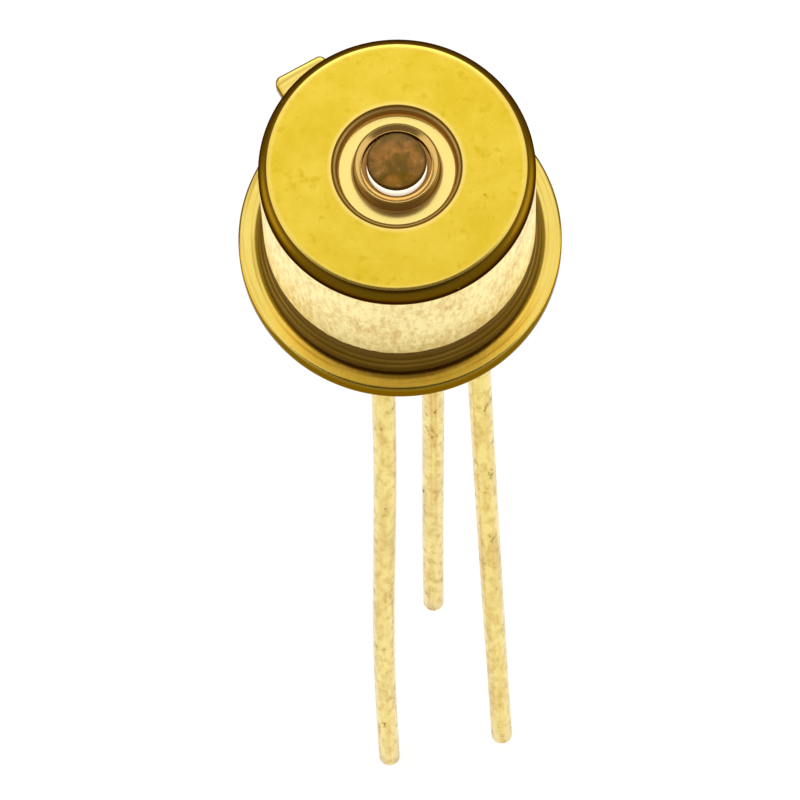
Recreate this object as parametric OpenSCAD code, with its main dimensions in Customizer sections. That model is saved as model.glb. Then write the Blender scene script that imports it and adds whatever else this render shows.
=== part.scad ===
// Infrared photodiode: a gold-plated metal can with three leads and a lens in its top.
// Millimetres. Z is the optical axis and points up, and the header's seating plane is z = 0.
// The index tab points to -X +Y, and the leads stand on the X and Y axes.

/* [Header] */
// Diameter of the header's flange
flange_d = 5.4; // [5.2:0.05:5.8]
// Thickness of the flange and of its index tab
flange_t = 0.35; // [0.28:0.01:0.45]
// Rounding of the flange's upper and lower edges
flange_round = 0.06; // [0.02:0.01:0.12]
// Height of the pedestal's top above the seating plane
header_h = 1.2; // [1:0.05:1.4]
// Gap between the pedestal and the cap's inner wall
pedestal_gap = 0.16; // [0.1:0.01:0.2]
// Width of the index tab
tab_w = 0.95; // [0.85:0.05:1.15]
// Reach of the index tab beyond the flange
tab_reach = 0.8; // [0.6:0.02:1]
// Rounding of the index tab's corners
tab_corner = 0.12; // [0.05:0.01:0.2]

/* [Leads] */
// Diameter of a lead
lead_d = 0.41; // [0.38:0.01:0.5]
// Diameter of the circle that the leads stand on
lead_circle_d = 2.54; // [2.4:0.02:2.6]
// Length of the leads below the seating plane
lead_l = 25.4; // [10:0.2:30]
// Height of the two insulated leads above the pedestal
post_h = 0.3; // [0.15:0.05:0.5]
// How much shorter the back lead is cut
back_lead_cut = 0.5; // [0:0.1:2]
// Straight length under the header before a lead leans
lead_straight = 0.6; // [0.3:0.1:1.5]
// Lean of the front lead in degrees
front_lean = 2.1; // [0:0.1:5]
// Lean of the back lead in degrees
back_lean = 0.6; // [0:0.1:5]
// Lean of the case lead in degrees
case_lean = 3.2; // [0:0.1:5]
// Chamfer on a lead's cut end
lead_chamfer = 0.05; // [0.02:0.01:0.1]
// Diameter of the glass seal around an insulated lead
seal_d = 1; // [0.9:0.02:1.1]
// Depth of the meniscus in the end of a seal
meniscus = 0.05; // [0.02:0.01:0.08]
// Depth that the case lead is brazed into the header
braze_depth = 0.3; // [0.2:0.02:0.5]

/* [Cap] */
// Outer diameter of the cap
cap_d = 4.52; // [4.4:0.02:4.7]
// Height of the cap's top face above the seating plane
cap_h = 3.85; // [3.6:0.05:4.4]
// Thickness of the drawn wall and of the recess floor
cap_wall = 0.2; // [0.15:0.01:0.25]
// Rounding of the cap's top edge
cap_round = 0.2; // [0.12:0.01:0.3]
// Reach of the weld rim beyond the cap's wall
weld_rim = 0.11; // [0.08:0.01:0.2]
// Thickness of the weld rim
weld_t = 0.25; // [0.18:0.01:0.3]
// Taper of the weld rim's trimmed edge
weld_draft = 0.02; // [0.01:0.01:0.03]
// Fillet between the wall and the weld rim
weld_fillet = 0.06; // [0.04:0.01:0.07]
// Diameter of the recess in the cap's top
recess_d = 1.94; // [1.8:0.02:2.2]
// Depth of the recess
recess_depth = 0.2; // [0.15:0.01:0.3]
// Rounding of the recess's upper edge
recess_round = 0.08; // [0.03:0.01:0.1]
// Fillets at the recess floor
recess_fillet = 0.04; // [0.02:0.01:0.06]

/* [Lens] */
// Diameter of the lens
lens_d = 0.98; // [0.94:0.01:1]
// Height of the lens's straight side above its seat
lens_side_h = 0.45; // [0.4:0.01:0.55]
// Width of the bevel round the lens's top
lens_bevel = 0.05; // [0.03:0.005:0.07]
// Height of the bevel round the lens's top
lens_bevel_h = 0.035; // [0.02:0.005:0.05]
// Rise of the lens's domed top above its bevel
lens_dome = 0.05; // [0.03:0.005:0.08]
// Gap around the lens that the sealing glass fills
lens_gap = 0.05; // [0.04:0.005:0.06]
// Diameter of the hole under the lens
lens_seat_d = 0.8; // [0.7:0.02:0.86]
// Distance of the sealing glass's face below the collar's rim
lens_seal_drop = 0.12; // [0.1:0.01:0.16]
// Thickness of the lens collar's wall
collar_wall = 0.16; // [0.14:0.005:0.18]
// Height of the lens collar above the cap's top face
collar_h = 0.15; // [0.15:0.01:0.25]
// Rounding of the collar's rim
collar_round = 0.1; // [0.09:0.005:0.12]

/* [Chip] */
// Width of the ceramic submount
submount_w = 1.2; // [1:0.05:1.4]
// Length of the ceramic submount, along the line of the insulated leads
submount_l = 1.3; // [1.2:0.05:1.4]
// Thickness of the ceramic submount
submount_t = 0.4; // [0.25:0.05:0.6]
// Thickness of a solder layer
solder_t = 0.02; // [0.01:0.005:0.04]
// Margin of a solder layer inside the piece above it
solder_margin = 0.03; // [0.01:0.01:0.05]
// Side of the square photodiode chip
chip_side = 0.5; // [0.45:0.01:0.6]
// Thickness of the photodiode chip
chip_t = 0.2; // [0.12:0.01:0.3]
// Diameter of the raised active area on the chip
active_d = 0.28; // [0.2:0.01:0.3]
// Height of the raised active area
active_t = 0.01; // [0.005:0.001:0.02]
// Diameter of a bond wire
wire_d = 0.03; // [0.02:0.005:0.04]
// Height of a bond wire's loop above the line between its feet
wire_loop = 0.26; // [0.15:0.01:0.4]
// Diameter of a bond wire's foot
bond_d = 0.08; // [0.06:0.01:0.09]
// Thickness of a bond wire's foot
bond_t = 0.03; // [0.02:0.005:0.04]
// Margin between a bond wire's foot and the edge of its pad
bond_margin = 0.02; // [0.01:0.005:0.04]

/* [Hidden] */
$fn = 64;
cut_over = 0.1;

flange_r = flange_d / 2;
lead_r = lead_d / 2;
lead_circle_r = lead_circle_d / 2;
seal_r = seal_d / 2;
cap_r = cap_d / 2;
cap_inner_r = cap_r - cap_wall;
pedestal_r = cap_inner_r - pedestal_gap;
weld_r = cap_r + weld_rim;
weld_top = flange_t + weld_t;

// Directions from above, counter-clockwise from +X
tab_angle = 135;
case_angle = 0;
back_angle = 90;
front_angle = 270;
front_heading = 270;
back_heading = 277;
case_heading = 304;
post_top = header_h + post_h;

// The meniscus is a circular groove that leaves a narrow land at each side
meniscus_land = 0.02;
groove_half = (seal_r - lead_r) / 2 - meniscus_land;
groove_r = (groove_half * groove_half + meniscus * meniscus) / (2 * meniscus);
groove_at = (seal_r + lead_r) / 2;

recess_r = recess_d / 2;
floor_z = cap_h - recess_depth;
lens_r = lens_d / 2;
lens_seat_r = lens_seat_d / 2;
lens_face_r = lens_r - lens_bevel;
lens_edge_z = floor_z + lens_side_h;
lens_top = lens_edge_z + lens_bevel_h + lens_dome;
dome_r = (lens_face_r * lens_face_r + lens_dome * lens_dome) / (2 * lens_dome);
collar_bore_r = lens_r + lens_gap;
collar_r = collar_bore_r + collar_wall;
collar_top = cap_h + collar_h;

submount_z = header_h + solder_t;
submount_top = submount_z + submount_t;
chip_z = submount_top + solder_t;
chip_top = chip_z + chip_t;
chip_bond_y = chip_side / 2 - bond_margin - bond_d / 2;
submount_bond_y = submount_l / 2 - bond_margin - bond_d / 2;

gold = [0.87, 0.72, 0.27];
pale_gold = [0.92, 0.82, 0.5];
seal_glass = [0.22, 0.27, 0.25];
lens_glass = [0.45, 0.32, 0.2, 0.6];
ceramic = [0.93, 0.92, 0.88];
solder = [0.75, 0.72, 0.66];
semiconductor = [0.2, 0.17, 0.24];

// Half-section of a disc with rounded rim, from the axis out to r
module rounded_rim(r, z0, z1, edge) {
    translate([0, z0]) square([r - edge, z1 - z0]);
    translate([0, z0 + edge]) square([r, z1 - z0 - 2 * edge]);
    for (z = [z0 + edge, z1 - edge])
        translate([r - edge, z]) circle(r = edge);
}

// Square corner left by a circle, for a fillet that fills a corner towards +X +Y of the point
module fillet_corner(edge) {
    difference() {
        square(edge);
        translate([edge, edge]) circle(r = edge);
    }
}

module on_lead_circle(angle) {
    rotate([0, 0, angle]) translate([lead_circle_r, 0, 0]) children();
}

module header_tab() {
    reach = flange_r + tab_reach;
    rotate([0, 0, tab_angle]) linear_extrude(flange_t) {
        translate([0, -tab_w / 2]) square([reach - tab_corner, tab_w]);
        translate([0, tab_corner - tab_w / 2]) square([reach, tab_w - 2 * tab_corner]);
        for (side = [-1, 1])
            translate([reach - tab_corner, side * (tab_w / 2 - tab_corner)]) circle(r = tab_corner);
    }
}

// Stamped eyelet: a thin flange with its tab, and the pedestal that carries the chip
module header() {
    color(gold) difference() {
        union() {
            rotate_extrude() {
                rounded_rim(flange_r, 0, flange_t, flange_round);
                square([pedestal_r, header_h]);
            }
            header_tab();
        }
        for (angle = [front_angle, back_angle])
            on_lead_circle(angle) translate([0, 0, -cut_over])
                cylinder(r = seal_r, h = header_h + 2 * cut_over);
        on_lead_circle(case_angle) translate([0, 0, -cut_over])
            cylinder(r = seal_r, h = braze_depth + cut_over);
    }
}

// Ring between a lead and its hole, with a meniscus in each end that is open
module seal_ring(height, top_open) {
    rotate_extrude() difference() {
        translate([lead_r, 0]) square([seal_r - lead_r, height]);
        translate([groove_at, meniscus - groove_r]) circle(r = groove_r);
        if (top_open)
            translate([groove_at, height - meniscus + groove_r]) circle(r = groove_r);
    }
}

module front_lead_seal() {
    color(seal_glass) on_lead_circle(front_angle) seal_ring(header_h, true);
}

module back_lead_seal() {
    color(seal_glass) on_lead_circle(back_angle) seal_ring(header_h, true);
}

module case_lead_braze() {
    color(pale_gold) on_lead_circle(case_angle) seal_ring(braze_depth, false);
}

// Wire that is upright in the header, leans below it and ends in a chamfer; the turn is a mitre
module lead(top_z, angle, lean, heading, length) {
    run = (length - lead_straight) / cos(lean);
    over = lead_d;
    color(pale_gold) on_lead_circle(angle) rotate([0, 0, heading - angle])
        translate([0, 0, -lead_straight]) {
            difference() {
                translate([0, 0, -over]) cylinder(r = lead_r, h = top_z + lead_straight + over);
                rotate([0, -lean / 2, 0]) translate([-over, -over, -2 * over]) cube(2 * over);
            }
            rotate([0, -lean, 0]) {
                difference() {
                    translate([0, 0, lead_chamfer - run])
                        cylinder(r = lead_r, h = run - lead_chamfer + over);
                    rotate([0, lean / 2, 0]) translate([-over, -over, 0]) cube(2 * over);
                }
                translate([0, 0, -run])
                    cylinder(r1 = lead_r - lead_chamfer, r2 = lead_r, h = lead_chamfer);
            }
        }
}

module front_lead() {
    lead(post_top, front_angle, front_lean, front_heading, lead_l);
}

module back_lead() {
    lead(post_top, back_angle, back_lean, back_heading, lead_l - back_lead_cut);
}

module case_lead() {
    lead(braze_depth, case_angle, case_lean, case_heading, lead_l);
}

module plate(width, length, thickness, z) {
    translate([-width / 2, -length / 2, z]) cube([width, length, thickness]);
}

module submount_solder() {
    trim = 2 * solder_margin;
    color(solder) plate(submount_w - trim, submount_l - trim, solder_t, header_h);
}

module submount() {
    color(ceramic) plate(submount_w, submount_l, submount_t, submount_z);
}

module chip_solder() {
    trim = 2 * solder_margin;
    color(solder) plate(chip_side - trim, chip_side - trim, solder_t, submount_top);
}

// Square die with a round active area standing on it
module chip() {
    color(semiconductor) union() {
        plate(chip_side, chip_side, chip_t, chip_z);
        translate([0, 0, chip_top]) cylinder(d = active_d, h = active_t);
    }
}

// Gold wire in the YZ plane: an arc between two feet, given as [y, z] of the pads they stand on
module bond_wire(pad_a, pad_b) {
    a = pad_a + [0, bond_t / 2];
    b = pad_b + [0, bond_t / 2];
    chord = b - a;
    span = norm(chord);
    arc_r = (span * span / 4 + wire_loop * wire_loop) / (2 * wire_loop);
    up = [-chord[1], chord[0]] * sign(chord[0]) / span;
    middle = (a + b) / 2 - up * (arc_r - wire_loop);
    angle_a = atan2(a[1] - middle[1], a[0] - middle[0]);
    angle_b = atan2(b[1] - middle[1], b[0] - middle[0]);
    color(gold) union() {
        translate([0, middle[0], middle[1]]) rotate([90, 0, 90])
            rotate([0, 0, min(angle_a, angle_b)])
            rotate_extrude(angle = abs(angle_a - angle_b)) translate([arc_r, 0]) circle(d = wire_d);
        for (pad = [pad_a, pad_b])
            translate([0, pad[0], pad[1]]) cylinder(d = bond_d, h = bond_t);
    }
}

module chip_wire() {
    bond_wire([chip_bond_y, chip_top], [lead_circle_r, post_top]);
}

module submount_wire() {
    bond_wire([-submount_bond_y, submount_top], [-lead_circle_r, post_top]);
}

// Short tube round the lens, with a rounded rim and a fillet at its foot
module collar_section() {
    crest = collar_r - collar_round;
    shoulder = collar_top - collar_round;
    translate([0, floor_z - cap_wall]) square([collar_r, shoulder - floor_z + cap_wall]);
    translate([crest, shoulder]) circle(r = collar_round);
    translate([collar_r, floor_z]) fillet_corner(recess_fillet);
}

// Recess in the flat of the top, with its upper edge and the edge of its floor rounded
module recess_section() {
    difference() {
        translate([0, floor_z]) square([recess_r, recess_depth + cut_over]);
        translate([recess_r, floor_z]) mirror([1, 0]) fillet_corner(recess_fillet);
    }
    difference() {
        translate([recess_r, cap_h - recess_round]) square([recess_round, recess_round + cut_over]);
        translate([recess_r + recess_round, cap_h - recess_round]) circle(r = recess_round);
    }
}

// Space under the top: the recess floor and its step keep the thickness of the wall
module cavity_section() {
    step_r = recess_r + cap_wall;
    low = flange_t - cut_over;
    translate([0, low]) square([cap_inner_r, floor_z - cap_wall - low]);
    translate([step_r, low]) square([cap_inner_r - step_r, cap_h - cap_wall - low]);
}

// Rim that stands out at the foot of the wall, with its trimmed edge a little tapered
module weld_rim_section() {
    polygon([[0, flange_t], [weld_r, flange_t], [weld_r - weld_draft, weld_top], [0, weld_top]]);
}

// Drawn shell with a weld rim, a rounded top edge, a coined recess and a collar for the lens
module cap() {
    color(gold) rotate_extrude() difference() {
        union() {
            difference() {
                union() {
                    translate([0, flange_t]) square([cap_r, cap_h - cap_round - flange_t]);
                    translate([0, flange_t]) square([cap_r - cap_round, cap_h - flange_t]);
                    translate([cap_r - cap_round, cap_h - cap_round]) circle(r = cap_round);
                    weld_rim_section();
                    translate([cap_r, weld_top]) fillet_corner(weld_fillet);
                }
                recess_section();
            }
            collar_section();
        }
        cavity_section();
        translate([0, floor_z]) square([collar_bore_r, collar_top - floor_z]);
        square([lens_seat_r, floor_z]);
    }
}

// Glass ring that fills the gap between the lens and its collar
module lens_seal() {
    height = collar_top - lens_seal_drop - floor_z;
    color(seal_glass) rotate_extrude()
        translate([lens_r, floor_z]) square([lens_gap, height]);
}

// Short drum of glass that sits on the recess floor, with a bevelled edge and a domed top
module lens() {
    color(lens_glass) rotate_extrude() intersection() {
        polygon([
            [0, floor_z], [lens_r, floor_z], [lens_r, lens_edge_z],
            [lens_face_r, lens_edge_z + lens_bevel_h], [lens_face_r, lens_top], [0, lens_top]
        ]);
        translate([0, lens_top - dome_r]) circle(r = dome_r);
    }
}

header();
front_lead_seal();
back_lead_seal();
front_lead();
back_lead();
case_lead();
case_lead_braze();
submount_solder();
submount();
chip_solder();
chip();
chip_wire();
submount_wire();
cap();
lens_seal();
lens();
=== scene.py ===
import math

import bmesh
import bpy
from mathutils import Matrix, Vector
from mathutils.geometry import delaunay_2d_cdt


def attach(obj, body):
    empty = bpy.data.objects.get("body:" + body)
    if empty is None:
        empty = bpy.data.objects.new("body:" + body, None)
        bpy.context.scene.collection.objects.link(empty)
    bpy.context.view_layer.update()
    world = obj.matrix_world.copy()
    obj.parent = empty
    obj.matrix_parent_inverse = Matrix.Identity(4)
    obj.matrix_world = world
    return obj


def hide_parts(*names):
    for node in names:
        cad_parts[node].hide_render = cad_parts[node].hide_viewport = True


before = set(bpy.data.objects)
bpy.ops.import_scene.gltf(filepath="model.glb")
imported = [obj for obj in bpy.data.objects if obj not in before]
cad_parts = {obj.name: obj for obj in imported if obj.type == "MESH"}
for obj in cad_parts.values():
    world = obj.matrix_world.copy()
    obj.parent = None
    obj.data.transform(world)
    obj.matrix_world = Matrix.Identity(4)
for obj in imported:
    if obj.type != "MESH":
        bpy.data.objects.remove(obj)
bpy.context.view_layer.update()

# Header: the stamped eyelet that everything stands on, a thin flange with an index tab outside the can
# and a pedestal inside it. Blanked from nickel-iron sheet, with two through holes and a pocket for the
# leads, then nickel and gold plated all over.
mm = 0.001
flange_r, flange_t, flange_round, flange_land = 2.70, 0.35, 0.06, 0.02
tab_at, tab_half, tab_end, tab_corner, tab_root = math.radians(135), 0.475, 3.50, 0.12, 0.10
pedestal_r, pedestal_top, pedestal_round, pedestal_land = 1.90, 1.20, 0.05, 0.03
hole_r, hole_points, lead_circle, pocket_depth = 0.50, 48, 1.27, 0.30
front_at, back_at, case_at = math.radians(270), math.radians(90), 0.0
shaded_edge_depth, shaded_ring_r, shaded_ring_fade, underside_r = 0.036, 2.44, 0.03, 2.30
sharp_from, same_place = math.radians(32), 1e-4


def srgb(code):
    """Linear colour of an sRGB hex code."""
    parts = [int(code[i:i + 2], 16) / 255 for i in (1, 3, 5)]
    return [c / 12.92 if c <= 0.04045 else ((c + 0.055) / 1.055) ** 2.4 for c in parts] + [1.0]


def add(tree, kind, inputs=None, **settings):
    """A shader node with its settings; each input is a plain value or a socket to link from.

    Sockets go by name or place: a Mix node's colours are inputs 6 and 7 and its colour output is 2, and
    a Map Range's limits are inputs 1 to 4.
    """
    made = tree.nodes.new(kind)
    for key, value in settings.items():
        setattr(made, key, value)
    for key, value in (inputs or {}).items():
        if isinstance(value, bpy.types.NodeSocket):
            tree.links.new(value, made.inputs[key])
        else:
            made.inputs[key].default_value = value
    return made


def new_finish(name):
    """A material with its node tree, its surface shader and the place on the piece in millimetres."""
    material = bpy.data.materials.new(name)
    material.use_nodes = True
    tree = material.node_tree
    in_metres = add(tree, "ShaderNodeTexCoord").outputs["Object"]
    in_mm = add(tree, "ShaderNodeVectorMath", {
        0: in_metres, 1: (1 / mm, 1 / mm, 1 / mm)}, operation="MULTIPLY")
    return material, tree, tree.nodes["Principled BSDF"], in_mm.outputs[0]


def arc(x, y, radius, start, end, steps):
    """Points of an arc, with its angles in degrees."""
    turns = [math.radians(start + (end - start) * i / steps) for i in range(steps + 1)]
    return [(x + radius * math.cos(t), y + radius * math.sin(t)) for t in turns]


def ring(bm, points, z):
    """Points of the mesh, all at one height."""
    return [bm.verts.new((x * mm, y * mm, z * mm)) for x, y in points]


def skin(bm, low, high):
    """Quads between two closed rings of as many points."""
    count = len(low)
    for i in range(count):
        j = (i + 1) % count
        bm.faces.new((low[i], low[j], high[j], high[i]))


def cover(bm, *rings):
    """Flat face inside the first ring, with the other rings as round holes in it."""
    points, edges, owners = [], [], []
    for number, one in enumerate(rings):
        first = len(points)
        points += one
        owners += [number] * len(one)
        edges += [(first + i, first + (i + 1) % len(one)) for i in range(len(one))]
    valid_faces, tolerance = 4, 1e-6
    flat = [point.co.xy / mm for point in points]
    _, _, faces, sources, _, _ = delaunay_2d_cdt(flat, edges, [], valid_faces, tolerance)
    for face in faces:
        corners = [sources[i][0] for i in face]
        touched = {owners[i] for i in corners}
        # A face with all its corners on one hole's ring lies in that hole and is left out
        if 0 in touched or len(touched) > 1:
            bm.faces.new([points[i] for i in corners])


def build(name, bm, material):
    """An object of the mesh, in one material."""
    mesh = bpy.data.meshes.new(name)
    bm.to_mesh(mesh)
    bm.free()
    mesh.materials.append(material)
    made = bpy.data.objects.new(name, mesh)
    bpy.context.scene.collection.objects.link(made)
    return made


def place(name, bm, material, node):
    """A smooth piece of the mesh, which rides on the body in place of its CAD node."""
    bmesh.ops.recalc_face_normals(bm, faces=bm.faces)
    piece = build(name, bm, material)
    piece.data.shade_smooth()
    piece.data.set_sharp_from_angle(angle=sharp_from)
    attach(piece, "root")
    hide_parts(node)


def facing(points, x, y, sign):
    """Points of an edge, each with the direction in which it faces, from or to its centre."""
    return [(px, py, sign * (px - x), sign * (py - y)) for px, py in points]


# Outline of the flange with its tab
root_y = tab_half + tab_root
root_x = math.sqrt((flange_r + tab_root) ** 2 - root_y ** 2)
root_turn = math.degrees(math.atan2(root_y, root_x))
corner_x, corner_y = tab_end - tab_corner, tab_half - tab_corner
outline = facing(arc(0, 0, flange_r, root_turn, 360 - root_turn, 180), 0, 0, 1)
outline += facing(arc(root_x, -root_y, tab_root, 180 - root_turn, 90, 6), root_x, -root_y, -1)
outline += facing(arc(corner_x, -corner_y, tab_corner, -90, 0, 8), corner_x, -corner_y, 1)
outline += facing(arc(corner_x, corner_y, tab_corner, 0, 90, 8), corner_x, corner_y, 1)
outline += facing(arc(root_x, root_y, tab_root, -90, root_turn - 180, 6), root_x, root_y, -1)


def inset(depth):
    """The outline moved inwards, turned to the tab's place."""
    cos, sin = math.cos(tab_at), math.sin(tab_at)
    moved = []
    for x, y, nx, ny in outline:
        size = math.hypot(nx, ny)
        x, y = x - nx / size * depth, y - ny / size * depth
        moved.append((x * cos - y * sin, x * sin + y * cos))
    return moved


def hole(angle):
    """Round outline of the hole at one lead."""
    x, y = lead_circle * math.cos(angle), lead_circle * math.sin(angle)
    return arc(x, y, hole_r, 0, 360, hole_points)[:-1]


bm = bmesh.new()
shade = bm.verts.layers.float.new("shade")
rim = [(flange_round + flange_land, 0.0)]
rim += [(flange_round - x, flange_round + z) for x, z in arc(0, 0, flange_round, -90, 0, 5)]
rim += [(flange_round - x, flange_t - flange_round + z) for x, z in arc(0, 0, flange_round, 0, 90, 5)]
rim += [(flange_round + flange_land, flange_t)]
edge_rings = [ring(bm, inset(depth), z) for depth, z in rim]
for low, high in zip(edge_rings, edge_rings[1:]):
    skin(bm, low, high)
# The flange's edge is painted dark, a painted shade
for one, (depth, _) in zip(edge_rings, rim):
    for vert in one:
        vert[shade] = 1.0 if depth < shaded_edge_depth else 0.0
ways = [math.atan2(y, x) for x, y in inset(0)]


def spread(radius, z):
    """Ring with a point in the direction of each point of the outline."""
    return ring(bm, [(radius * math.cos(t), radius * math.sin(t)) for t in ways], z)


# The flange's top is painted dark inside these rings, round the cap's foot, a painted shade
top_rings = [spread(r, flange_t) for r in (shaded_ring_r, shaded_ring_r - shaded_ring_fade, pedestal_r)]
for one in top_rings[1:]:
    for vert in one:
        vert[shade] = 1.0
wall = arc(pedestal_r - pedestal_round, pedestal_top - pedestal_round, pedestal_round, 0, 90, 5)
wall += [(pedestal_r - pedestal_round - pedestal_land, pedestal_top)]
pedestal = [spread(r, z) for r, z in wall]
upper = [edge_rings[-1]] + top_rings + pedestal
for low, high in zip(upper, upper[1:]):
    skin(bm, low, high)
underside = spread(underside_r, 0)
skin(bm, underside, edge_rings[0])
below = [ring(bm, hole(angle), 0) for angle in (front_at, back_at, case_at)]
above = [ring(bm, hole(angle), pedestal_top) for angle in (front_at, back_at)]
ceiling = ring(bm, hole(case_at), pocket_depth)
for low, high in zip(below, above + [ceiling]):
    skin(bm, low, high)
cover(bm, pedestal[-1], *above)
cover(bm, underside, *below)
cover(bm, ceiling)
bmesh.ops.remove_doubles(bm, verts=bm.verts, dist=same_place * mm)

# Bright gold plating on stamped sheet: yellow and near to a mirror, softly cloudy where the bath plated
# unevenly, with faint rings of about 0.06 mm from the press tool and a pebbled grain of about 0.07 mm.
# The sheared edge and a ring of the flange round the cap's foot are painted brown, a painted shade.
bright_gold, tree, gold, in_mm = new_finish("bright_gold_plating")
cloud = add(tree, "ShaderNodeTexNoise", {"Vector": in_mm, "Scale": 1 / 0.6, "Detail": 4.0, "Roughness": 0.6})
cloudy = add(tree, "ShaderNodeMix", {
    0: cloud.outputs[0], 6: srgb("#EACA58"), 7: srgb("#F5DE7C")}, data_type="RGBA")
on_plan = add(tree, "ShaderNodeVectorMath", {0: in_mm, 1: (1, 1, 0)}, operation="MULTIPLY")
from_axis = add(tree, "ShaderNodeVectorMath", {0: on_plan.outputs[0]}, operation="LENGTH")
outwards = add(tree, "ShaderNodeMath", {0: from_axis.outputs["Value"], 1: 1 / 0.06}, operation="MULTIPLY")
around = add(tree, "ShaderNodeVectorMath", {0: on_plan.outputs[0], 1: (0.5, 0.5, 0)}, operation="MULTIPLY")
ring_noise = add(tree, "ShaderNodeTexNoise", {
    "Vector": around.outputs[0], "W": outwards.outputs[0], "Scale": 1.0, "Detail": 1.0},
    noise_dimensions="4D")
rings = add(tree, "ShaderNodeMapRange", {"Value": ring_noise.outputs[0], 1: 0.52, 2: 0.68, 3: 0.0, 4: 0.55})
ringed = add(tree, "ShaderNodeMix", {
    0: rings.outputs[0], 6: cloudy.outputs[2], 7: srgb("#B98E2A")}, data_type="RGBA")
# Painted shade: the flange's edge and the ring round the cap's foot are mixed to brown
header_painted_shade = add(tree, "ShaderNodeAttribute", attribute_name="shade").outputs["Fac"]
tone = add(tree, "ShaderNodeMix", {0: header_painted_shade, 6: ringed.outputs[2], 7: srgb("#846618")}, data_type="RGBA")
slant = add(tree, "ShaderNodeMix", {0: header_painted_shade, 6: ringed.outputs[2], 7: srgb("#C0AE80")}, data_type="RGBA")
tree.links.new(tone.outputs[2], gold.inputs["Base Color"])
tree.links.new(slant.outputs[2], gold.inputs["Specular Tint"])
plated = add(tree, "ShaderNodeMapRange", {"Value": header_painted_shade, 3: 0.95, 4: 1.0})
tree.links.new(plated.outputs[0], gold.inputs["Metallic"])
grain = add(tree, "ShaderNodeTexNoise", {"Vector": in_mm, "Scale": 1 / 0.07, "Detail": 2.0})
rough = add(tree, "ShaderNodeMapRange", {"Value": grain.outputs[0], 3: 0.12, 4: 0.2})
tree.links.new(rough.outputs[0], gold.inputs["Roughness"])
pebble = add(tree, "ShaderNodeBump", {"Height": grain.outputs[0], "Strength": 0.06, "Distance": 0.01 * mm})
tree.links.new(pebble.outputs[0], gold.inputs["Normal"])

place("header_eyelet", bm, bright_gold, "header")

# Insulated leads with their seals: two wires through the header, each held and insulated by a ring of
# glass that was melted in its hole. The glass wets the metal, so it dips between wire and hole.
# The wires were bent a little in handling: they lean below the header, and bow slightly.
lead_r, lead_chamfer, lead_straight, bend_r = 0.205, 0.05, 0.60, 6.0
post_top, lead_length, back_cut = 1.50, 25.4, 0.5
meniscus, meniscus_land = 0.05, 0.02
bend_steps, run_steps, wire_points = 8, 24, 40
# Each wire's place, its lean and that lean's heading in degrees, its length, its bow and its sway
wires = {"front": (front_at, 2.1, 270, lead_length, -0.022, 0.045),
         "back": (back_at, 0.6, 277, lead_length - back_cut, 0.10, 0.03),
         "case": (case_at, 3.2, 304, lead_length, -0.018, 0.0)}
bow_at = math.radians(18)
bow_way = Vector((math.cos(bow_at), math.sin(bow_at), 0.0))
upright = Vector((0, 0, 1))


def turn(bm, profile, centre=(0.0, 0.0), count=64, closed=True):
    """Turns a profile of (radius, z, ...) round an upright axis; returns its rings of points."""
    made = []
    for radius, z, *_ in profile:
        if radius < same_place:
            made.append(ring(bm, [centre], z))
        else:
            made.append(ring(bm, [(centre[0] + radius * math.cos(2 * math.pi * i / count),
                                   centre[1] + radius * math.sin(2 * math.pi * i / count))
                                  for i in range(count)], z))
    pairs = list(zip(made, made[1:])) + ([(made[-1], made[0])] if closed else [])
    for one, two in pairs:
        for i in range(count):
            j = (i + 1) % count
            corners = [one[0]] if len(one) == 1 else [one[i], one[j]]
            corners += [two[0]] if len(two) == 1 else [two[j], two[i]]
            bm.faces.new(corners)
    return made


def lead(top, which):
    """Mesh of one wire: upright in the header, then a gentle bend, a lean and a chamfered end."""
    angle, lean, heading, length, bow, sway = wires[which]
    lean, heading = math.radians(lean), math.radians(heading)
    foot = Vector((lead_circle * math.cos(angle), lead_circle * math.sin(angle), 0.0))
    side = Vector((math.cos(heading), math.sin(heading), 0.0))
    run = (length - lead_straight) / math.cos(lean)
    slope = side * math.sin(lean) - upright * math.cos(lean)
    knee = foot - upright * lead_straight
    tangent = bend_r * math.tan(lean / 2)
    path = [(foot + upright * top, 0.0, lead_r)]
    for i in range(bend_steps + 1):
        turned = lean * i / bend_steps
        at = knee + upright * (tangent - bend_r * math.sin(turned)) + side * bend_r * (1 - math.cos(turned))
        path.append((at, turned, lead_r))
    for i in range(1, run_steps):
        wave = math.pi * i / run_steps
        moved = bow_way * (bow * math.sin(wave) + sway * math.sin(2 * wave))
        path.append((knee + slope * run * i / run_steps + moved, lean, lead_r))
    path.append((knee + slope * (run - lead_chamfer), lean, lead_r))
    for x, z in arc(lead_r - lead_chamfer, 0, lead_chamfer, 0, 90, 5)[1:]:
        path.append((knee + slope * (run - lead_chamfer + z), lean, x))
    bm = bmesh.new()
    rings = []
    other = upright.cross(side)
    for at, turned, radius in path:
        across = side * math.cos(turned) + upright * math.sin(turned)
        rings.append([bm.verts.new((at + (across * math.cos(t) + other * math.sin(t)) * radius) * mm)
                      for t in (2 * math.pi * i / wire_points for i in range(wire_points))])
    for low, high in zip(rings, rings[1:]):
        skin(bm, low, high)
    bm.faces.new(rings[0])
    bm.faces.new(rings[-1])
    return bm


def seal_ring(height, angle, open_top):
    """Mesh of a ring between wire and hole, with a dip in each open end."""
    middle, half = (hole_r + lead_r) / 2, (hole_r - lead_r) / 2 - meniscus_land
    radius = (half * half + meniscus * meniscus) / (2 * meniscus)
    reach = math.degrees(math.asin(half / radius))
    dip = arc(middle, meniscus - radius, radius, 90 + reach, 90 - reach, 10)
    profile = [(lead_r, 0.0)] + dip + [(hole_r, 0.0), (hole_r, height)]
    if open_top:
        profile += [(x, height - z) for x, z in reversed(dip)]
    profile += [(lead_r, height)]
    bm = bmesh.new()
    turn(bm, profile, (lead_circle * math.cos(angle), lead_circle * math.sin(angle)), hole_points)
    return bm


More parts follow.
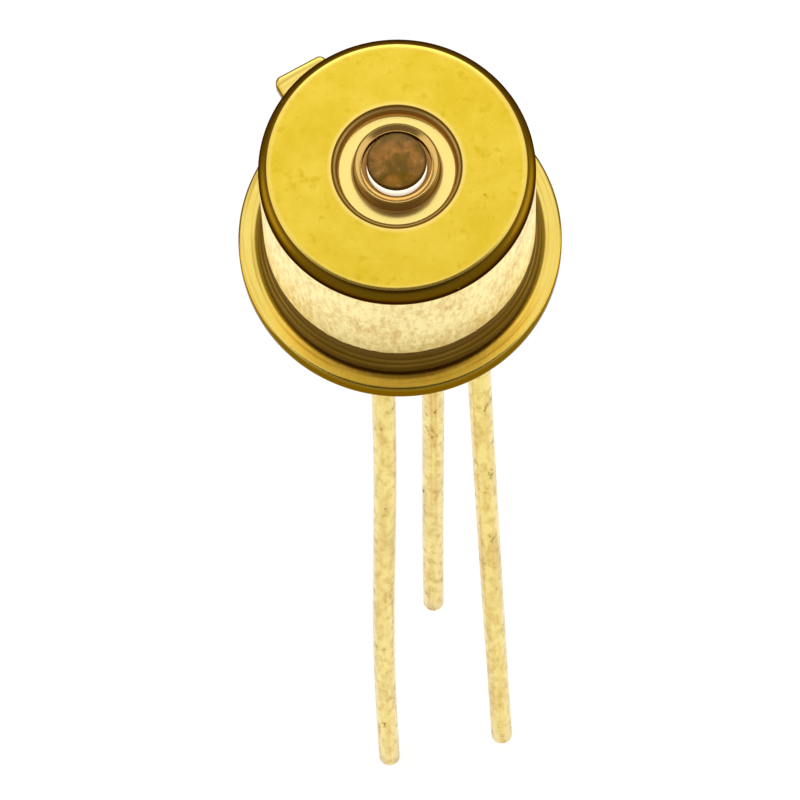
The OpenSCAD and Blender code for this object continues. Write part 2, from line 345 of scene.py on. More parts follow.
# Sealing glass: dark grey-green and glossy, with fine bubbles of about 0.05 mm and a flow-smooth face
seal_glass, tree, glass, in_mm = new_finish("sealing_glass")
bubbles = add(tree, "ShaderNodeTexVoronoi", {"Vector": in_mm, "Scale": 1 / 0.05})
spots = add(tree, "ShaderNodeMapRange", {
    "Value": bubbles.outputs["Distance"], 1: 0.1, 2: 0.3, 3: 1.0, 4: 0.0})
tone = add(tree, "ShaderNodeMix", {
    0: spots.outputs[0], 6: srgb("#2E332D"), 7: srgb("#525A4E")}, data_type="RGBA")
tree.links.new(tone.outputs[2], glass.inputs["Base Color"])
flow = add(tree, "ShaderNodeTexNoise", {"Vector": in_mm, "Scale": 1 / 0.3})
rough = add(tree, "ShaderNodeMapRange", {"Value": flow.outputs[0], 3: 0.04, 4: 0.14})
tree.links.new(rough.outputs[0], glass.inputs["Roughness"])
glass.inputs["IOR"].default_value = 1.52

# Gold-plated wire: pale, bright gold, softly mottled in streaks along it where it was drawn, with a grain
# of about 0.13 mm and, in groups, small dark nicks from handling. The die lines are drawn at 0.05 mm,
# coarser than real, so that they show.
wire_gold, tree, gold, in_mm = new_finish("gold_plated_wire")
along = add(tree, "ShaderNodeVectorMath", {0: in_mm, 1: (1 / 0.05, 1 / 0.05, 1 / 1.2)}, operation="MULTIPLY")
die_lines = add(tree, "ShaderNodeTexNoise", {"Vector": along.outputs[0], "Scale": 1.0, "Detail": 2.0})
longer = add(tree, "ShaderNodeVectorMath", {0: in_mm, 1: (1, 1, 1 / 12)}, operation="MULTIPLY")
streak = add(tree, "ShaderNodeTexNoise", {
    "Vector": longer.outputs[0], "Scale": 1 / 0.18, "Detail": 3.0, "Roughness": 0.5})
streaks = add(tree, "ShaderNodeMapRange", {"Value": streak.outputs[0], 1: 0.42, 2: 0.78})
mottled = add(tree, "ShaderNodeMix", {
    0: streaks.outputs[0], 6: srgb("#F3DA70"), 7: srgb("#D8B23C")}, data_type="RGBA")
taller = add(tree, "ShaderNodeVectorMath", {0: in_mm, 1: (1, 1, 1 / 3)}, operation="MULTIPLY")
speck = add(tree, "ShaderNodeTexNoise", {
    "Vector": taller.outputs[0], "Scale": 1 / 0.13, "Detail": 3.0, "Roughness": 0.6})
grains = add(tree, "ShaderNodeMapRange", {"Value": speck.outputs[0], 1: 0.45, 2: 0.75, 3: 0.0, 4: 0.36})
grainy = add(tree, "ShaderNodeMix", {
    0: grains.outputs[0], 6: mottled.outputs[2], 7: srgb("#C4942A")}, data_type="RGBA")
wear_and_half_shade = add(tree, "ShaderNodeTexNoise", {"Vector": in_mm, "Scale": 1 / 2.2, "Detail": 1.0})
grouped = add(tree, "ShaderNodeMath", {
    0: wear_and_half_shade.outputs[0], 1: 0.5, 2: speck.outputs[0]}, operation="MULTIPLY_ADD")
nicks = add(tree, "ShaderNodeMapRange", {"Value": grouped.outputs[0], 1: 0.91, 2: 1.06})
tone = add(tree, "ShaderNodeMix", {
    0: nicks.outputs[0], 6: grainy.outputs[2], 7: srgb("#6E5004")}, data_type="RGBA")
tree.links.new(tone.outputs[2], gold.inputs["Base Color"])
marked = add(tree, "ShaderNodeMath", {0: nicks.outputs[0], 1: grains.outputs[0]}, operation="MAXIMUM")
slant = add(tree, "ShaderNodeMix", {
    0: marked.outputs[0], 6: srgb("#FFFFFF"), 7: srgb("#86660C")}, data_type="RGBA")
tree.links.new(slant.outputs[2], gold.inputs["Specular Tint"])
gold.inputs["Metallic"].default_value = 1.0
rough = add(tree, "ShaderNodeMapRange", {"Value": die_lines.outputs[0], 3: 0.18, 4: 0.3})
tree.links.new(rough.outputs[0], gold.inputs["Roughness"])
drawn = add(tree, "ShaderNodeBump", {
    "Height": die_lines.outputs[0], "Strength": 0.06, "Distance": 0.01 * mm})
tree.links.new(drawn.outputs[0], gold.inputs["Normal"])

for which, angle in (("front", front_at), ("back", back_at)):
    place(which + "_seal_ring", seal_ring(pedestal_top, angle, True), seal_glass,
          which + "_lead_seal")
    place(which + "_wire", lead(post_top, which), wire_gold, which + "_lead")

# Case lead: the third wire, brazed into a pocket in the header's underside so that it is joined to the
# case. The braze is plated over with the header.
place("case_wire", lead(pocket_depth, "case"), wire_gold, "case_lead")
place("case_braze_ring", seal_ring(pocket_depth, case_at, False), wire_gold, "case_lead_braze")

# Chip on its submount: a ceramic block soldered to the pedestal carries the diode chip, and two gold
# wires bonded by heat and pressure join them to the posts. These small pieces keep their CAD shape.
contact_mid, contact_half, area_r = 0.155, 0.015, 0.14

# Alumina ceramic: matt off-white with a sintered grain of about 0.03 mm
alumina, tree, ceramic, in_mm = new_finish("alumina_ceramic")
grain = add(tree, "ShaderNodeTexNoise", {"Vector": in_mm, "Scale": 1 / 0.03, "Detail": 3.0})
tone = add(tree, "ShaderNodeMix", {
    0: grain.outputs[0], 6: srgb("#E4E0D6"), 7: srgb("#F4F2EA")}, data_type="RGBA")
tree.links.new(tone.outputs[2], ceramic.inputs["Base Color"])
ceramic.inputs["Roughness"].default_value = 0.6
ceramic.inputs["IOR"].default_value = 1.76

# Gold-tin solder: a dull silvery gold with a frosty skin of about 0.04 mm
solder, tree, metal, in_mm = new_finish("gold_tin_solder")
frost = add(tree, "ShaderNodeTexNoise", {"Vector": in_mm, "Scale": 1 / 0.04, "Detail": 3.0})
tone = add(tree, "ShaderNodeMix", {
    0: frost.outputs[0], 6: srgb("#AFA48C"), 7: srgb("#CFC6AE")}, data_type="RGBA")
tree.links.new(tone.outputs[2], metal.inputs["Base Color"])
metal.inputs["Metallic"].default_value = 1.0
rough = add(tree, "ShaderNodeMapRange", {"Value": frost.outputs[0], 3: 0.35, 4: 0.55})
tree.links.new(rough.outputs[0], metal.inputs["Roughness"])

# Indium-phosphide chip: polished dark violet-grey, with a thin gold contact ring round the blue-black
# active area
chip_face, tree, crystal, in_mm = new_finish("indium_phosphide_chip")
on_plan = add(tree, "ShaderNodeVectorMath", {0: in_mm, 1: (1, 1, 0)}, operation="MULTIPLY")
from_axis = add(tree, "ShaderNodeVectorMath", {0: on_plan.outputs[0]}, operation="LENGTH")
on_ring = add(tree, "ShaderNodeMath", {
    0: from_axis.outputs["Value"], 1: contact_mid, 2: contact_half}, operation="COMPARE")
in_area = add(tree, "ShaderNodeMath", {0: from_axis.outputs["Value"], 1: area_r}, operation="LESS_THAN")
tone = add(tree, "ShaderNodeMix", {
    0: in_area.outputs[0], 6: srgb("#4A4550"), 7: srgb("#1E2238")}, data_type="RGBA")
ringed = add(tree, "ShaderNodeMix", {
    0: on_ring.outputs[0], 6: tone.outputs[2], 7: srgb("#E6C25A")}, data_type="RGBA")
tree.links.new(ringed.outputs[2], crystal.inputs["Base Color"])
tree.links.new(on_ring.outputs[0], crystal.inputs["Metallic"])
crystal.inputs["Roughness"].default_value = 0.12

for node, material in (("submount", alumina), ("submount_solder", solder), ("chip_solder", solder),
                       ("chip", chip_face), ("chip_wire", wire_gold), ("submount_wire", wire_gold)):
    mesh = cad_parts[node].data
    mesh.materials.clear()
    mesh.materials.append(material)

# Cap: a shell drawn from nickel-iron sheet and gold plated, welded to the flange by the rim at its foot.
# Its flat crown has a coined recess, and in that stands a short collar, whose lip slopes down to the lens.
# The drawing die burnished the side wall and the coining punch the recess floor; the crown stayed satin.
weld_r, weld_draft, weld_top, weld_fillet, weld_edge = 2.37, 0.02, 0.60, 0.06, 0.03
cap_r, cap_top, cap_wall, cap_round = 2.26, 3.85, 0.20, 0.20
recess_r, recess_floor, recess_round, recess_fillet = 0.97, 3.65, 0.08, 0.04
collar_r, bore_r, seat_r, collar_top = 0.70, 0.57, 0.40, 4.00
lip_r, lip_fall, bore_edge, bore_edge_h = 0.03, 22, 0.008, 0.012
# Flat strips that keep the rounds crisp, then where the finish, the painted highlight and the painted shade
# change: up the wall, across the crown, outside the recess and above the painted shade of the foot
wall_land, floor_land, step_land, cap_points = 0.03, 0.02, 0.01, 256
burnish_top, burnish_fade, rim_from, rim_to = 3.52, 0.02, 1.8, 1.9
highlight_out, highlight_in, edge_out, foot_shade_low, foot_shade_high = 0.10, 0.03, 0.015, 1.10, 1.13
# Finishes, with one pale line painted as a highlight; then the levels of painted shade, from tan to brown
SATIN, HIGHLIGHT, FLOOR, BURNISHED = 0.0, 0.3, 0.5, 1.0
HALF_SHADE, DEEP_SHADE, DEEPER_SHADE, FULL_SHADE = 0.5, 0.8, 0.93, 1.0
cavity_r, step_r, recess_edge = cap_r - cap_wall, recess_r + cap_wall, recess_r + recess_round
lip_at, lip_z = collar_r - lip_r, collar_top - lip_r
lip_inner = arc(lip_at, lip_z, lip_r, 75, 90 + lip_fall, 4)
lip_run = lip_inner[-1][0] - bore_r - bore_edge
lip_low = lip_inner[-1][1] - lip_run * math.tan(math.radians(lip_fall))
profile = []


def draw(points, finish, shade=0.0):
    """Adds points of the section with the finish of the surface there and how dark its painted shade is."""
    profile.extend((r, z, finish, shade) for r, z in points)


# Each zone's shade is painted shade: the weld's corner, the rim's round, the recess walls, the collar and its
# lip are painted darker, towards tan and brown
draw([(cavity_r, flange_t), (weld_r - weld_edge - wall_land, flange_t)], SATIN, FULL_SHADE)
draw(arc(weld_r - weld_edge, flange_t + weld_edge, weld_edge, -90, 0, 4), SATIN, DEEPER_SHADE)
draw(arc(weld_r - weld_draft - weld_edge, weld_top - weld_edge, weld_edge, 0, 90, 4), SATIN, DEEPER_SHADE)
draw(arc(cap_r + weld_fillet, weld_top + weld_fillet, weld_fillet, 270, 180, 6)[1:], SATIN, DEEPER_SHADE)
draw([(cap_r, weld_top + weld_fillet + wall_land), (cap_r, burnish_top)], BURNISHED)
draw([(cap_r, burnish_top + burnish_fade), (cap_r, cap_top - cap_round - wall_land)], SATIN, FULL_SHADE)
draw(arc(cap_r - cap_round, cap_top - cap_round, cap_round, 0, 72, 10), SATIN, FULL_SHADE)
# The top of the rim's round is painted paler, a painted highlight
draw(arc(cap_r - cap_round, cap_top - cap_round, cap_round, 76, 90, 5), FLOOR)
draw([(cap_r - cap_round - wall_land, cap_top), (recess_edge + highlight_out, cap_top)], SATIN)
# A pale line round the recess, a painted highlight
draw([(recess_edge + highlight_in, cap_top)], HIGHLIGHT)
draw([(recess_edge + edge_out, cap_top)], SATIN, FULL_SHADE)
draw(arc(recess_edge, cap_top - recess_round, recess_round, 90, 98, 1), SATIN, FULL_SHADE)
draw(arc(recess_edge, cap_top - recess_round, recess_round, 106, 180, 6), SATIN, DEEP_SHADE)
draw([(recess_r, recess_floor + recess_fillet + step_land)], SATIN, DEEP_SHADE)
draw(arc(recess_r - recess_fillet, recess_floor + recess_fillet, recess_fillet, 0, -40, 3), SATIN, HALF_SHADE)
draw(arc(recess_r - recess_fillet, recess_floor + recess_fillet, recess_fillet, -55, -90, 3), FLOOR)
draw([(recess_r - recess_fillet - floor_land, recess_floor)], FLOOR)
draw([(collar_r + recess_fillet + floor_land, recess_floor)], FLOOR)
draw(arc(collar_r + recess_fillet, recess_floor + recess_fillet, recess_fillet, 270, 180, 5), SATIN, DEEP_SHADE)
draw([(collar_r, lip_z - step_land)], SATIN, DEEP_SHADE)
draw(arc(lip_at, lip_z, lip_r, 0, 60, 5) + lip_inner[:2], SATIN, DEEPER_SHADE)
draw(lip_inner[3:] + [(bore_r + bore_edge, lip_low)], FLOOR, HALF_SHADE)
draw([(bore_r, lip_low - bore_edge_h), (bore_r, recess_floor)], SATIN, FULL_SHADE)
draw([(seat_r, recess_floor), (seat_r, recess_floor - cap_wall)], SATIN, FULL_SHADE)
draw([(step_r, recess_floor - cap_wall), (step_r, cap_top - cap_wall)], SATIN, HALF_SHADE)
draw([(cavity_r, cap_top - cap_wall)], SATIN, HALF_SHADE)
bm = bmesh.new()
burnish_layer = bm.verts.layers.float.new("burnish")
shade_layer = bm.verts.layers.float.new("shade")
for one, point in zip(turn(bm, profile, count=cap_points), profile):
    for vert in one:
        vert[burnish_layer], vert[shade_layer] = point[2], point[3]

# Gold plating on a drawn cap: the satin crown is a deep cloudy yellow with a pebbled grain and a few dark
# specks of dust from the bath, and the coined floor a paler, smoother yellow. The burnished wall is painted
# cream, paler than its gold, a painted highlight for the bright light it mirrors, with golden mottling where
# the sheet's grain opened up. Painted shade darkens the edges, the recess, the collar and its lip towards tan
# and brown, and a band of painted shade with a ragged top darkens the foot to a dull, less metallic brown.
# The top of the rim's round and a line round the recess are painted paler, a painted highlight.
cap_gold, tree, gold, in_mm = new_finish("drawn_cap_gold_plating")
burnish = add(tree, "ShaderNodeAttribute", attribute_name="burnish").outputs["Fac"]
zone_shade = add(tree, "ShaderNodeAttribute", attribute_name="shade").outputs["Fac"]
cloud = add(tree, "ShaderNodeTexNoise", {"Vector": in_mm, "Scale": 1 / 0.7, "Detail": 5.0, "Roughness": 0.62})
clouds = add(tree, "ShaderNodeMapRange", {"Value": cloud.outputs[0], 1: 0.35, 2: 0.65})
crown = add(tree, "ShaderNodeMix", {
    0: clouds.outputs[0], 6: srgb("#DFBE2A"), 7: srgb("#EACB42")}, data_type="RGBA")
spot = add(tree, "ShaderNodeTexNoise", {"Vector": in_mm, "Scale": 1 / 0.17, "Detail": 2.0})
spots = add(tree, "ShaderNodeMapRange", {"Value": spot.outputs[0], 1: 0.58, 2: 0.74, 3: 0.0, 4: 0.7})
spotted = add(tree, "ShaderNodeMix", {
    0: spots.outputs[0], 6: crown.outputs[2], 7: srgb("#D4B212")}, data_type="RGBA")
taller = add(tree, "ShaderNodeVectorMath", {0: in_mm, 1: (1, 1, 1 / 3)}, operation="MULTIPLY")
fleck = add(tree, "ShaderNodeTexNoise", {
    "Vector": taller.outputs[0], "Scale": 1 / 0.1, "Detail": 5.0, "Roughness": 0.7})
patch = add(tree, "ShaderNodeTexNoise", {"Vector": in_mm, "Scale": 1 / 1.3, "Detail": 1.0})
grouped = add(tree, "ShaderNodeMath", {
    0: patch.outputs[0], 1: 0.4, 2: fleck.outputs[0]}, operation="MULTIPLY_ADD")
flecks = add(tree, "ShaderNodeMapRange", {"Value": grouped.outputs[0], 1: 0.60, 2: 0.94})
# The wall's cream is a painted highlight: paler than the gold, for the bright light it mirrors
side = add(tree, "ShaderNodeMix", {
    0: flecks.outputs[0], 6: srgb("#F9E8A0"), 7: srgb("#D0A232")}, data_type="RGBA")
on_floor = add(tree, "ShaderNodeMapRange", {"Value": burnish, 1: SATIN, 2: FLOOR})
on_wall = add(tree, "ShaderNodeMapRange", {"Value": burnish, 1: FLOOR, 2: BURNISHED})
on_plan = add(tree, "ShaderNodeVectorMath", {0: in_mm, 1: (1, 1, 0)}, operation="MULTIPLY")
from_axis = add(tree, "ShaderNodeVectorMath", {0: on_plan.outputs[0]}, operation="LENGTH")
# Painted highlight on the rim: the pale of the coined floor is kept weaker out there
inside = add(tree, "ShaderNodeMapRange", {
    "Value": from_axis.outputs["Value"], 1: rim_from, 2: rim_to, 3: 1.0, 4: 0.3})
pale = add(tree, "ShaderNodeMath", {0: on_floor.outputs[0], 1: inside.outputs[0]}, operation="MULTIPLY")
coined = add(tree, "ShaderNodeMix", {
    0: pale.outputs[0], 6: spotted.outputs[2], 7: srgb("#FFE588")}, data_type="RGBA")
gilt = add(tree, "ShaderNodeMix", {
    0: on_wall.outputs[0], 6: coined.outputs[2], 7: side.outputs[2]}, data_type="RGBA")
# Painted shade on the foot: below a ragged height the cap is painted brown and made less metallic
height = add(tree, "ShaderNodeSeparateXYZ", {0: in_mm}).outputs[2]
ragged = add(tree, "ShaderNodeMath", {0: fleck.outputs[0], 1: 0.16, 2: height}, operation="MULTIPLY_ADD")
shaded_foot = add(tree, "ShaderNodeMapRange", {
    "Value": ragged.outputs[0], 1: foot_shade_low, 2: foot_shade_high, 3: 1.0, 4: 0.0})
flat = add(tree, "ShaderNodeVectorMath", {0: in_mm, 1: (0.7, 0.7, 1 / 0.1)}, operation="MULTIPLY")
line = add(tree, "ShaderNodeTexNoise", {"Vector": flat.outputs[0], "Scale": 1.0, "Detail": 2.0})
lines = add(tree, "ShaderNodeMapRange", {"Value": line.outputs[0], 1: 0.3, 2: 0.7, 3: 0.96, 4: 1.0})
foot = add(tree, "ShaderNodeMath", {0: shaded_foot.outputs[0], 1: lines.outputs[0]}, operation="MULTIPLY")
# All the painted shade, from the zones and the foot, mixed towards tan and then brown
brown = add(tree, "ShaderNodeMath", {0: zone_shade, 1: foot.outputs[0]}, operation="MAXIMUM")
wear_and_half_shade = add(tree, "ShaderNodeMapRange", {"Value": brown.outputs[0], 1: 0.0, 2: HALF_SHADE})
shade_to_brown = add(tree, "ShaderNodeMapRange", {"Value": brown.outputs[0], 1: HALF_SHADE, 2: FULL_SHADE})
half_shaded = add(tree, "ShaderNodeMix", {
    0: wear_and_half_shade.outputs[0], 6: gilt.outputs[2], 7: srgb("#E4BA6C")}, data_type="RGBA")
shaded_tone = add(tree, "ShaderNodeMix", {
    0: shade_to_brown.outputs[0], 6: half_shaded.outputs[2], 7: srgb("#62480A")}, data_type="RGBA")
dust = add(tree, "ShaderNodeTexVoronoi", {"Vector": in_mm, "Scale": 1 / 0.3})
near = add(tree, "ShaderNodeMapRange", {
    "Value": dust.outputs["Distance"], 1: 0.03, 2: 0.10, 3: 1.0, 4: 0.0})
few = add(tree, "ShaderNodeSeparateColor", {0: dust.outputs["Color"]})
rare = add(tree, "ShaderNodeMath", {0: few.outputs[0], 1: 0.12}, operation="LESS_THAN")
specks = add(tree, "ShaderNodeMath", {0: near.outputs[0], 1: rare.outputs[0]}, operation="MULTIPLY")
tone = add(tree, "ShaderNodeMix", {
    0: specks.outputs[0], 6: shaded_tone.outputs[2], 7: srgb("#A5861E")}, data_type="RGBA")
tree.links.new(tone.outputs[2], gold.inputs["Base Color"])
slant = add(tree, "ShaderNodeMix", {
    0: brown.outputs[0], 6: srgb("#FFFFFF"), 7: tone.outputs[2]}, data_type="RGBA")
tree.links.new(slant.outputs[2], gold.inputs["Specular Tint"])
mirror = add(tree, "ShaderNodeMapRange", {"Value": on_floor.outputs[0], 3: 0.8, 4: 0.9})
plated = add(tree, "ShaderNodeMath", {
    0: on_wall.outputs[0], 1: -0.35, 2: mirror.outputs[0]}, operation="MULTIPLY_ADD")
metal = add(tree, "ShaderNodeMath", {0: plated.outputs[0], 1: brown.outputs[0]}, operation="MAXIMUM")
dulled = add(tree, "ShaderNodeMath", {
    0: shaded_foot.outputs[0], 1: -0.55, 2: metal.outputs[0]}, operation="MULTIPLY_ADD")
tree.links.new(dulled.outputs[0], gold.inputs["Metallic"])
grain = add(tree, "ShaderNodeTexNoise", {"Vector": in_mm, "Scale": 1 / 0.07, "Detail": 2.0})
smooth = add(tree, "ShaderNodeMapRange", {"Value": on_floor.outputs[0], 3: 0.34, 4: 0.18})
rough = add(tree, "ShaderNodeMath", {
    0: on_wall.outputs[0], 1: 0.22, 2: smooth.outputs[0]}, operation="MULTIPLY_ADD")
tree.links.new(rough.outputs[0], gold.inputs["Roughness"])
soft = add(tree, "ShaderNodeMapRange", {"Value": on_floor.outputs[0], 3: 0.1, 4: 0.03})
pebble = add(tree, "ShaderNodeBump", {
    "Height": grain.outputs[0], "Strength": soft.outputs[0], "Distance": 0.01 * mm})
tree.links.new(pebble.outputs[0], gold.inputs["Normal"])

place("drawn_cap", bm, cap_gold, "cap")

# Lens with its seal: a short drum of glass that sits on the recess floor inside the collar, ground round
# its side, bevelled, and polished to a shallow dome on top. A ring of glass melted in the gap holds it.
lens_r, lens_side, lens_bevel, lens_bevel_h, lens_dome = 0.49, 0.45, 0.03, 0.035, 0.05
seal_drop, seal_dip, lens_points = 0.20, 0.02, 128
# How far the drum's foot is cut off, how far below its edge the ground side ends and the painted dark of the
# bevel starts, how the bevel's two edges are eased, and where the painted shade in the view into the dome
# starts and ends
foot_cut, ground_end, bevel_start, break_start = 0.03, 0.045, 0.035, 0.015
break_in, break_up, brow_out, brow_down, dome_share = 0.006, 0.002, 0.008, 0.006, 0.98
dark_from, dark_to = 0.26, 0.46
seal_top = collar_top - seal_drop
lens_edge, lens_face = recess_floor + lens_side, lens_r - lens_bevel
dome_low = lens_edge + lens_bevel_h
dome_r = (lens_face ** 2 + lens_dome ** 2) / (2 * lens_dome)
dome_turn = math.degrees(math.asin(lens_face / dome_r))
gap_at, gap_half = (bore_r + lens_r) / 2, (bore_r - lens_r) / 2
dip_r = (gap_half ** 2 + seal_dip ** 2) / (2 * seal_dip)
dip_turn = math.degrees(math.asin(gap_half / dip_r))
ring_section = [(lens_r, recess_floor), (bore_r, recess_floor)]
ring_section += arc(gap_at, seal_top - seal_dip + dip_r, dip_r, 270 + dip_turn, 270 - dip_turn, 8)
bm = bmesh.new()
turn(bm, ring_section, count=lens_points)

# Solder glass: tan with a soft gloss, clouded by fine bubbles of about 0.03 mm
solder_glass, tree, glass, in_mm = new_finish("tan_solder_glass")
bubbles = add(tree, "ShaderNodeTexNoise", {"Vector": in_mm, "Scale": 1 / 0.03, "Detail": 2.0})
tone = add(tree, "ShaderNodeMix", {
    0: bubbles.outputs[0], 6: srgb("#B07E34"), 7: srgb("#D6A854")}, data_type="RGBA")
tree.links.new(tone.outputs[2], glass.inputs["Base Color"])
glass.inputs["Roughness"].default_value = 0.4
glass.inputs["IOR"].default_value = 1.5

place("lens_seal_ring", bm, solder_glass, "lens_seal")

GROUND, BEVEL, POLISHED = 0.0, 0.5, 1.0
profile = []
draw([(0.0, recess_floor), (lens_r - foot_cut, recess_floor), (lens_r, recess_floor + foot_cut)], GROUND)
draw([(lens_r, lens_edge - ground_end)], GROUND)
draw([(lens_r, lens_edge - bevel_start), (lens_r, lens_edge - break_start)], BEVEL)
draw([(lens_r - break_in, lens_edge + break_up), (lens_face + brow_out, dome_low - brow_down)], BEVEL)
draw(arc(0, dome_low + lens_dome - dome_r, dome_r, 90 - dome_turn * dome_share, 90, 16), POLISHED)
bm = bmesh.new()
polish_layer = bm.verts.layers.float.new("polish")
for one, point in zip(turn(bm, profile, count=lens_points, closed=False), profile):
    for vert in one:
        vert[polish_layer] = point[2]

# Lens glass, painted with the view into the can: from above a deep warm brown, a painted shade for the dim
# inside, with paler pink-brown clouds and painted glints, which are the chip and its bond wires seen enlarged
# and lit, darkening towards the dome's edge as painted shade, under a face with an anti-reflection coat. The
# ground side is painted white and given a painted glow, which stands for light that came in through the dome;
# the bevel, which shows the inside, is painted nearly black.
painted_view_glass, tree, glass, in_mm = new_finish("lens_glass_painted_view")
inner = add(tree, "ShaderNodeTexNoise", {
    "Vector": in_mm, "Scale": 1 / 0.32, "Detail": 3.0, "Roughness": 0.55, "Distortion": 0.5})
clouds = add(tree, "ShaderNodeMapRange", {"Value": inner.outputs[0], 1: 0.38, 2: 0.62})
deep = add(tree, "ShaderNodeMix", {
    0: clouds.outputs[0], 6: srgb("#624812"), 7: srgb("#98662A")}, data_type="RGBA")
# Painted glints: pale pink spots for the chip and wires seen lit through the dome
glint = add(tree, "ShaderNodeTexNoise", {"Vector": in_mm, "Scale": 1 / 0.16, "Detail": 2.0})
glints = add(tree, "ShaderNodeMapRange", {"Value": glint.outputs[0], 1: 0.62, 2: 0.84})
on_plan = add(tree, "ShaderNodeVectorMath", {0: in_mm, 1: (1, 1, 0)}, operation="MULTIPLY")
from_axis = add(tree, "ShaderNodeVectorMath", {0: on_plan.outputs[0]}, operation="LENGTH")
# Painted shade: the view darkens towards the dome's edge
vignette = add(tree, "ShaderNodeMapRange", {
    "Value": from_axis.outputs["Value"], 1: dark_from, 2: dark_to, 3: 0.0, 4: 0.65})
lit_chip = add(tree, "ShaderNodeMix", {
    0: glints.outputs[0], 6: deep.outputs[2], 7: srgb("#D29C68")}, data_type="RGBA")
seen = add(tree, "ShaderNodeMix", {
    0: vignette.outputs[0], 6: lit_chip.outputs[2], 7: srgb("#55420F")}, data_type="RGBA")
polish = add(tree, "ShaderNodeAttribute", attribute_name="polish").outputs["Fac"]
on_bevel = add(tree, "ShaderNodeMapRange", {"Value": polish, 1: GROUND, 2: BEVEL})
on_dome = add(tree, "ShaderNodeMapRange", {"Value": polish, 1: BEVEL, 2: POLISHED})
grit = add(tree, "ShaderNodeTexNoise", {"Vector": in_mm, "Scale": 1 / 0.03, "Detail": 2.0})
# The ground side is painted white, a painted highlight, and also glows with that white, a painted glow
painted_glow = add(tree, "ShaderNodeMix", {
    0: grit.outputs[0], 6: srgb("#FFF4D8"), 7: srgb("#FFFBEE")}, data_type="RGBA")
# The bevel is painted nearly black for the dark inside seen through it
bevelled = add(tree, "ShaderNodeMix", {
    0: on_bevel.outputs[0], 6: painted_glow.outputs[2], 7: srgb("#3A2206")}, data_type="RGBA")
tone = add(tree, "ShaderNodeMix", {
    0: on_dome.outputs[0], 6: bevelled.outputs[2], 7: seen.outputs[2]}, data_type="RGBA")
tree.links.new(tone.outputs[2], glass.inputs["Base Color"])
rough = add(tree, "ShaderNodeMapRange", {"Value": on_bevel.outputs[0], 3: 0.6, 4: 0.05})
tree.links.new(rough.outputs[0], glass.inputs["Roughness"])
glass.inputs["IOR"].default_value = 1.52
glass.inputs["Specular IOR Level"].default_value = 0.12
# Painted glow: the ground side emits its white, as if lit through the dome
tree.links.new(painted_glow.outputs[2], glass.inputs["Emission Color"])
glow = add(tree, "ShaderNodeMapRange", {"Value": on_bevel.outputs[0], 3: 0.6, 4: 0.0})
tree.links.new(glow.outputs[0], glass.inputs["Emission Strength"])

place("drum_lens", bm, painted_view_glass, "lens")

# Floor: a wide sheet of white paper that the leads stand on. It looks white to the camera and in the
# metal, and takes a faint shadow.
paper_near, paper_far, paper_white = 60.0, 2000.0, 0.85
bm = bmesh.new()
turn(bm, [(r, -lead_length) for r in (0.0, paper_near, paper_far)], closed=False)
# White paper: matt, with pulp fibres of about 0.5 mm that barely show
paper = bpy.data.materials.new("white_paper")
paper.use_nodes = True
tree = paper.node_tree
tree.nodes.clear()
path = add(tree, "ShaderNodeLightPath")
mirrored = add(tree, "ShaderNodeMath", {
    0: path.outputs["Is Camera Ray"], 1: path.outputs["Is Glossy Ray"]}, operation="MAXIMUM")
seen = add(tree, "ShaderNodeMath", {
    0: mirrored.outputs[0], 1: path.outputs["Is Transmission Ray"]}, operation="MAXIMUM")
share = add(tree, "ShaderNodeMath", {0: seen.outputs[0], 1: paper_white}, operation="MULTIPLY")
fibre = add(tree, "ShaderNodeTexNoise", {
    "Vector": add(tree, "ShaderNodeTexCoord").outputs["Object"], "Scale": 1 / (0.5 * mm)})
pulp = add(tree, "ShaderNodeMix", {
    0: fibre.outputs[0], 6: srgb("#FBFBFA"), 7: srgb("#FFFFFF")}, data_type="RGBA")
lit = add(tree, "ShaderNodeBsdfDiffuse", {"Color": pulp.outputs[2]})
white = add(tree, "ShaderNodeEmission", {"Color": srgb("#FFFFFF"), "Strength": 1.0})
mixed = add(tree, "ShaderNodeMixShader", {0: share.outputs[0], 1: lit.outputs[0], 2: white.outputs[0]})
add(tree, "ShaderNodeOutputMaterial", {"Surface": mixed.outputs[0]})
floor = build("paper_floor", bm, paper)

# Camera: a long lens 71 degrees above the floor, turned a little round the object and on its own axis,
# as the photograph was taken
view_from, view_up, view_far, view_roll = math.radians(18), math.radians(71), 120.0, math.radians(-2.75)
look_side, look_z = -0.13, -8.56
focal_length, sensor, nearest, farthest = 322.76, 36.0, 0.001, 10.0
aim = math.radians(270) + view_from
eye_way = Vector((math.cos(view_up) * math.cos(aim), math.cos(view_up) * math.sin(aim), math.sin(view_up)))
eye = eye_way * view_far
look = Vector((look_side * math.cos(view_from), look_side * math.sin(view_from), look_z))
ahead = (look - eye).normalized()
right = ahead.cross(upright).normalized()
upward = right.cross(ahead)
right, upward = (right * math.cos(view_roll) + upward * math.sin(view_roll),
                 upward * math.cos(view_roll) - right * math.sin(view_roll))
turned = Matrix((right, upward, -ahead)).transposed().to_4x4()
shot = bpy.data.cameras.new("photo_camera")
shot.lens, shot.sensor_width, shot.clip_start, shot.clip_end = focal_length, sensor, nearest, farthest
camera = bpy.data.objects.new("photo_camera", shot)
bpy.context.scene.collection.objects.link(camera)
camera.matrix_world = Matrix.Translation(eye * mm) @ turned
bpy.context.scene.camera = camera

# Studio: a dark card round the camera and a dark screen low behind the object, which only the metal and
# the glass see, a soft lamp behind and one at each side, and a pale room, brighter behind than in front
card_far, card_r = 75.0, 38.0
screen_far, screen_low, screen_high, screen_half, screen_steps = 80.0, 5.0, 25.0, 70, 28
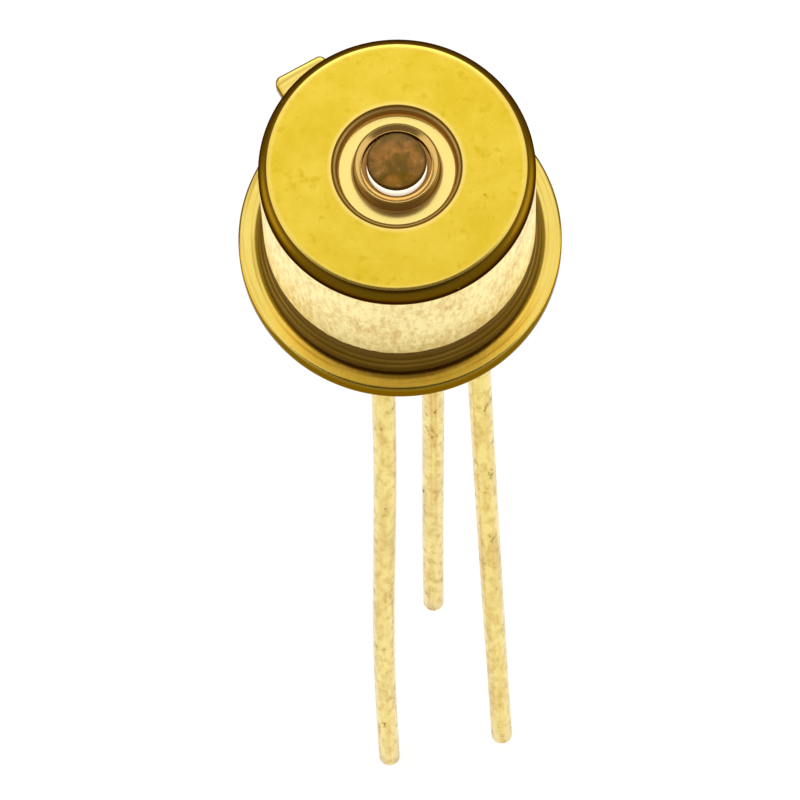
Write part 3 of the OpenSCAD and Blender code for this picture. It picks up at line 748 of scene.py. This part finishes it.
# Brown card: matt and evenly dark, so that it gives the bright metal its dark edges
brown_card = bpy.data.materials.new("dark_brown_card")
brown_card.use_nodes = True
tree = brown_card.node_tree
tree.nodes.clear()
dull = add(tree, "ShaderNodeEmission", {"Color": srgb("#4A3C22"), "Strength": 1.0})
add(tree, "ShaderNodeOutputMaterial", {"Surface": dull.outputs[0]})
bm = bmesh.new()
turn(bm, [(0.0, 0.0), (card_r, 0.0)], closed=False)
card = build("dark_card", bm, brown_card)
card.matrix_world = Matrix.Translation(eye_way * card_far * mm) @ turned
card.visible_camera = card.visible_diffuse = card.visible_shadow = False

behind = math.degrees(aim) + 180
bent = arc(0, 0, screen_far, behind - screen_half, behind + screen_half, screen_steps)
bm = bmesh.new()
low, high = ring(bm, bent, screen_low), ring(bm, bent, screen_high)
for i in range(screen_steps):
    bm.faces.new((low[i], low[i + 1], high[i + 1], high[i]))
screen = build("dark_screen", bm, brown_card)
screen.visible_camera = screen.visible_diffuse = screen.visible_shadow = False

world = bpy.data.worlds.new("pale_room")
bpy.context.scene.world = world
world.use_nodes = True
tree = world.node_tree
tree.nodes.clear()
back_way = Vector((-math.cos(aim), -math.sin(aim), 0.6)).normalized()
facing_back = add(tree, "ShaderNodeVectorMath", {
    0: add(tree, "ShaderNodeTexCoord").outputs["Generated"], 1: back_way}, operation="DOT_PRODUCT")
level = add(tree, "ShaderNodeMapRange", {
    "Value": facing_back.outputs["Value"], 1: -0.4, 2: 0.7, 3: 0.98, 4: 1.06})
air = add(tree, "ShaderNodeBackground", {"Color": srgb("#FFFFFF"), "Strength": level.outputs[0]})
add(tree, "ShaderNodeOutputWorld", {"Surface": air.outputs[0]})

# Each lamp's place in millimetres, its width in metres and its power in watts
sideways = Vector((math.cos(view_from), math.sin(view_from), 0.0))
lamps = {"soft_lamp": (back_way * 200 + upright * 60, 0.16, 0.05),
         "left_lamp": (upright * 40 - sideways * 180, 0.14, 0.15),
         "right_lamp": (upright * 40 + sideways * 180, 0.14, 0.15)}
for name, (hung_at, width, power) in lamps.items():
    lamp = bpy.data.lights.new(name, "AREA")
    lamp.shape, lamp.size, lamp.energy = "DISK", width, power
    hung = bpy.data.objects.new(name, lamp)
    bpy.context.scene.collection.objects.link(hung)
    facing_in = hung_at.to_track_quat("Z", "Y").to_matrix().to_4x4()
    hung.matrix_world = Matrix.Translation(hung_at * mm) @ facing_in
    hung.visible_camera = False

bpy.context.scene.view_settings.view_transform = "Standard"
